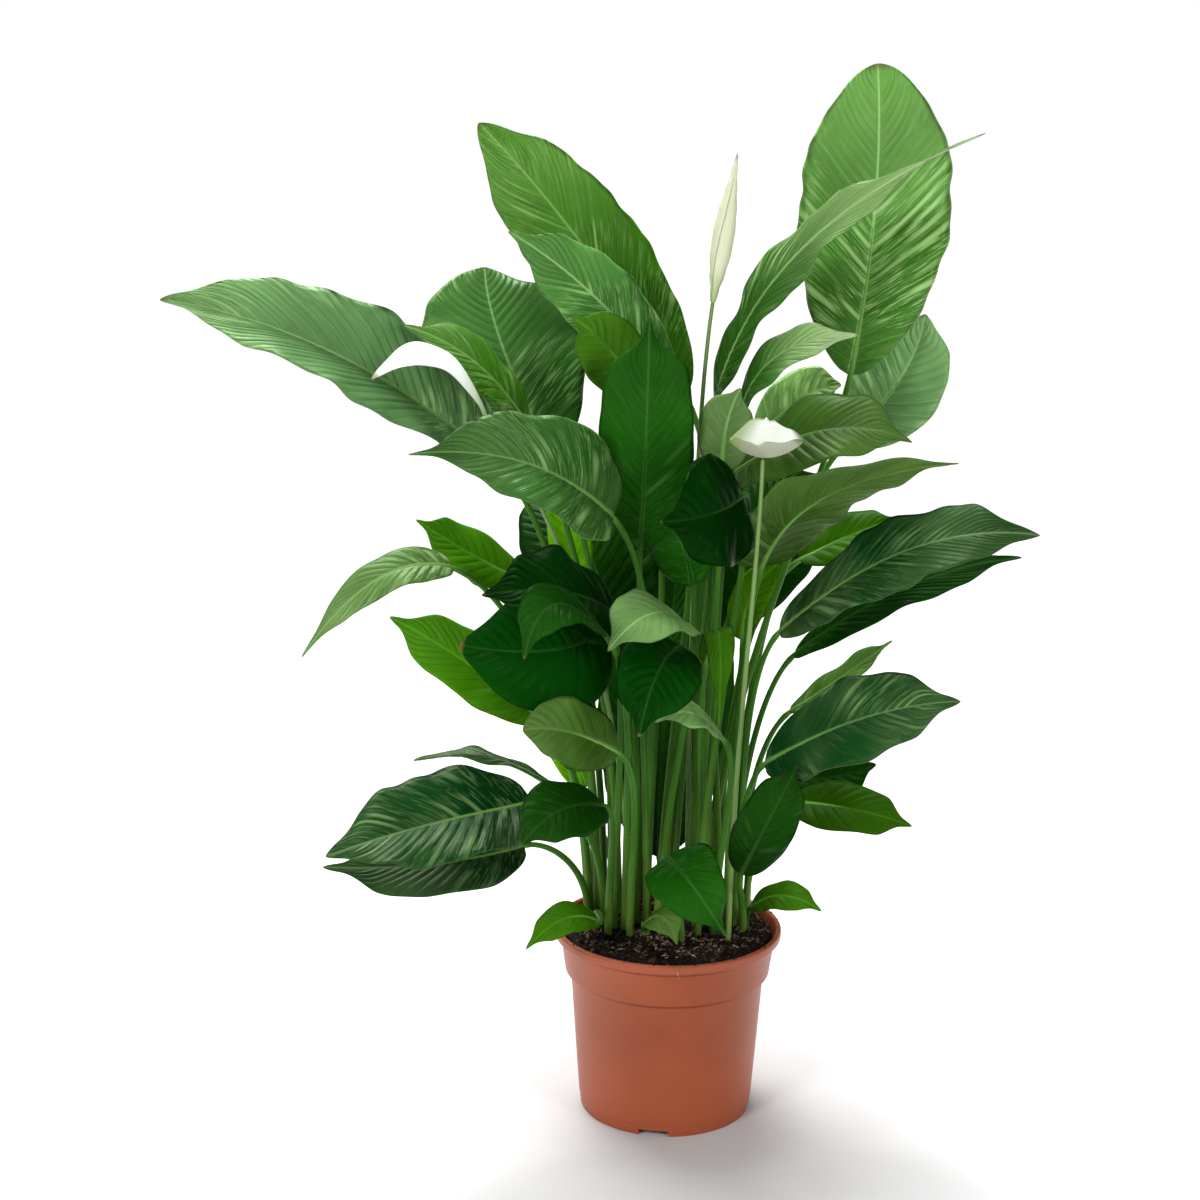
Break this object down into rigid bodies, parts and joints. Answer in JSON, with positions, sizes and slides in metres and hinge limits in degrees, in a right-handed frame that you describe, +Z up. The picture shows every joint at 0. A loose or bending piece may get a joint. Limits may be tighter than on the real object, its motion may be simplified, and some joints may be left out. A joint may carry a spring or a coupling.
{
  "type": "potted peace lily",
  "caption": "Potted peace lily: long arching leaves on slender stalks and white spathes, rising from soil in a tapered plastic nursery pot.",
  "frame": {"origin": "centre of the pot's underside, on the level of its foot ring", "axes": "+Z up along the pot's axis, -Y towards the viewer of the picture, +X to the right in the picture"},
  "size_m": [0.5861, 0.3567, 0.7702],
  "materials": {
    "terracotta_plastic": "matt terracotta-coloured polypropylene with a soft sheen",
    "potting_soil": "dark peat with lighter fibres, loose and dull",
    "leaf_green": "satin leaf, from bright to very dark green, with paler veins",
    "stalk_green": "smooth light green bloom stalk",
    "spathe_white": "white spathe, soft and slightly translucent",
    "spadix_cream": "cream spadix with a knobbly surface"
  },
  "bodies": {
    "root": {"pot": "terracotta_plastic", "soil": "potting_soil", "leaf_tall_right": "leaf_green", "leaf_upper_left": "leaf_green", "leaf_upper_left_front": "leaf_green", "leaf_upper_left_olive": "leaf_green", "leaf_centre_erect": "leaf_green", "leaf_long_twisted": "leaf_green", "leaf_small_twisted": "leaf_green", "leaf_centre_right": "leaf_green", "leaf_left_arch": "leaf_green", "leaf_left_arch_front": "leaf_green", "leaf_left_long": "leaf_green", "leaf_left_pale": "leaf_green", "leaf_left_lime": "leaf_green", "leaf_left_mid": "leaf_green", "leaf_left_drooping": "leaf_green", "leaf_left_dark_upper": "leaf_green", "leaf_left_dark_lower": "leaf_green", "leaf_left_hanging": "leaf_green", "leaf_left_bright": "leaf_green", "leaf_left_yellow": "leaf_green", "leaf_left_round": "leaf_green", "leaf_centre_hood": "leaf_green", "leaf_centre_dark_hanging": "leaf_green", "leaf_centre_bright_hanging": "leaf_green", "leaf_centre_small": "leaf_green", "leaf_centre_green": "leaf_green", "leaf_centre_dark": "leaf_green", "leaf_low_left_big": "leaf_green", "leaf_low_left_front": "leaf_green", "leaf_low_left_under": "leaf_green", "leaf_low_left_edge": "leaf_green", "leaf_base_left": "leaf_green", "leaf_base_front": "leaf_green", "leaf_front_heart": "leaf_green", "leaf_low_right_up": "leaf_green", "leaf_low_right": "leaf_green", "leaf_low_right_back": "leaf_green", "leaf_right_lower": "leaf_green", "leaf_right_edge": "leaf_green", "leaf_base_right": "leaf_green", "leaf_right_long": "leaf_green", "leaf_right_under": "leaf_green", "leaf_right_back": "leaf_green", "leaf_right_hooked": "leaf_green", "leaf_right_reaching": "leaf_green", "leaf_upper_right_back": "leaf_green", "leaf_right_light": "leaf_green", "leaf_right_lime": "leaf_green", "leaf_back_left": "leaf_green", "leaf_back_middle": "leaf_green", "leaf_back_right": "leaf_green", "bloom_rolled_stalk": "stalk_green", "bloom_rolled_spathe": "spathe_white", "bloom_open_stalk": "stalk_green", "bloom_open_spathe": "spathe_white", "bloom_open_spadix": "spadix_cream", "bloom_left_stalk": "stalk_green", "bloom_left_spathe": "spathe_white"}
  },
  "joints": []
}
